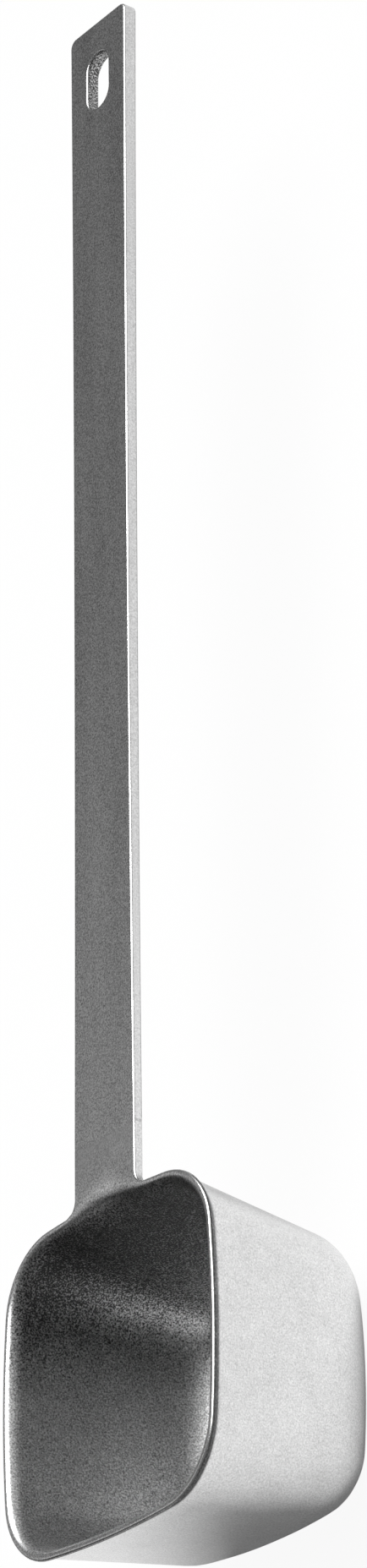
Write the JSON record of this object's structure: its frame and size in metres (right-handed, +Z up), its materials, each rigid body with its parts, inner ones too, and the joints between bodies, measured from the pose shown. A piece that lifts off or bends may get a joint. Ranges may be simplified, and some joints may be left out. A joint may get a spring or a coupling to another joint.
{
  "type": "measuring spoon",
  "caption": "Metal measuring spoon with a deep rounded-square cup, turned-out lip and a long flat bar handle, level with the rim, with a hanging slot.",
  "frame": {"origin": "middle of the cup's flat underside, at the cup's centre line", "axes": "+Z up out of the cup's mouth, +X along the handle from the cup to its end, +Y across the handle"},
  "size_m": [0.2041, 0.0408, 0.0289],
  "materials": {
    "cup_steel": "satin",
    "weld_steel": "ground flush, satin",
    "bar_steel": "satin, grained along its length"
  },
  "bodies": {
    "root": {"bowl": "cup_steel", "neck_weld": "weld_steel", "handle": "bar_steel"}
  },
  "joints": []
}
